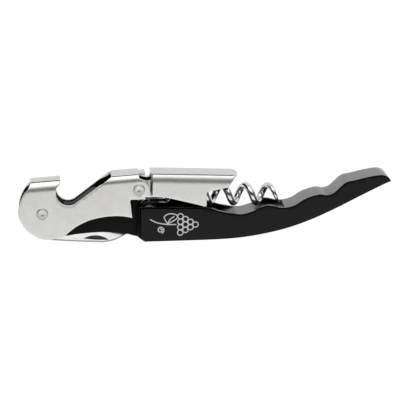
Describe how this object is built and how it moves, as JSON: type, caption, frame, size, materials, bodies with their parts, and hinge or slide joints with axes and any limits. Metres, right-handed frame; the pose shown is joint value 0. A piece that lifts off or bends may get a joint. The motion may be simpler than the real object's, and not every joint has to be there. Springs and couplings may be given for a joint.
{
  "type": "waiters corkscrew",
  "caption": "Folding two-step waiter's corkscrew: black wavy handle, stamped steel double-hinged lever with cap opener, steel worm and small folding knife.",
  "frame": {"origin": "middle of the closed corkscrew's length and height, on the handle's rear face, which it lies on", "axes": "+X towards the handle's tail, +Y towards the lever, +Z out of the handle's front face; every pivot runs along Z"},
  "size_m": [0.1289, 0.0256, 0.012],
  "materials": {
    "handle_black": "satin black anodised",
    "lever_steel": "satin, fine grain along the lever",
    "rivet_steel": "satin, formed heads",
    "washer_steel": "plain rolled",
    "spring_steel": "dark rolled spring steel",
    "worm_chrome": "polished",
    "blade_steel": "bright ground"
  },
  "bodies": {
    "handle": {"handle_body": "handle_black", "lever_rivet": "rivet_steel", "lever_washer_front": "washer_steel", "lever_washer_rear": "washer_steel", "worm_pin": "rivet_steel", "worm_sleeve_front": "washer_steel", "worm_sleeve_rear": "washer_steel", "blade_spring": "spring_steel", "spring_pin": "rivet_steel"},
    "arm": {"lever_arm": "lever_steel", "boot_rivet": "rivet_steel", "boot_spacer": "washer_steel", "boot_washer_front": "washer_steel", "boot_washer_rear": "washer_steel"},
    "boot": {"lever_boot": "lever_steel"},
    "worm": {"worm": "worm_chrome"},
    "knife": {"knife_blade": "blade_steel", "blade_washer_front": "washer_steel", "blade_washer_rear": "washer_steel"}
  },
  "joints": [
    {"name": "lever_swing", "type": "hinge", "parent": "handle", "child": "arm", "pos_m": [-0.05619, -0.00142, 0.006], "axis": [0, 0, 1], "range_deg": [0, 160]},
    {"name": "boot_fold", "type": "hinge", "parent": "arm", "child": "boot", "pos_m": [-0.02309, 0.00738, 0.006], "axis": [0, 0, 1], "range_deg": [0, 40]},
    {"name": "worm_swing", "type": "hinge", "parent": "handle", "child": "worm", "pos_m": [-0.01919, -0.00092, 0.006], "axis": [0, 0, 1], "range_deg": [0, 90]},
    {"name": "blade_swing", "type": "hinge", "parent": "handle", "child": "knife", "pos_m": [-0.05619, -0.00142, 0.006], "axis": [0, 0, 1], "range_deg": [-165, 0]}
  ],
  "couplings": [
    {"joint": "worm_swing", "follows": "lever_swing", "ratio": 0.5625}
  ]
}
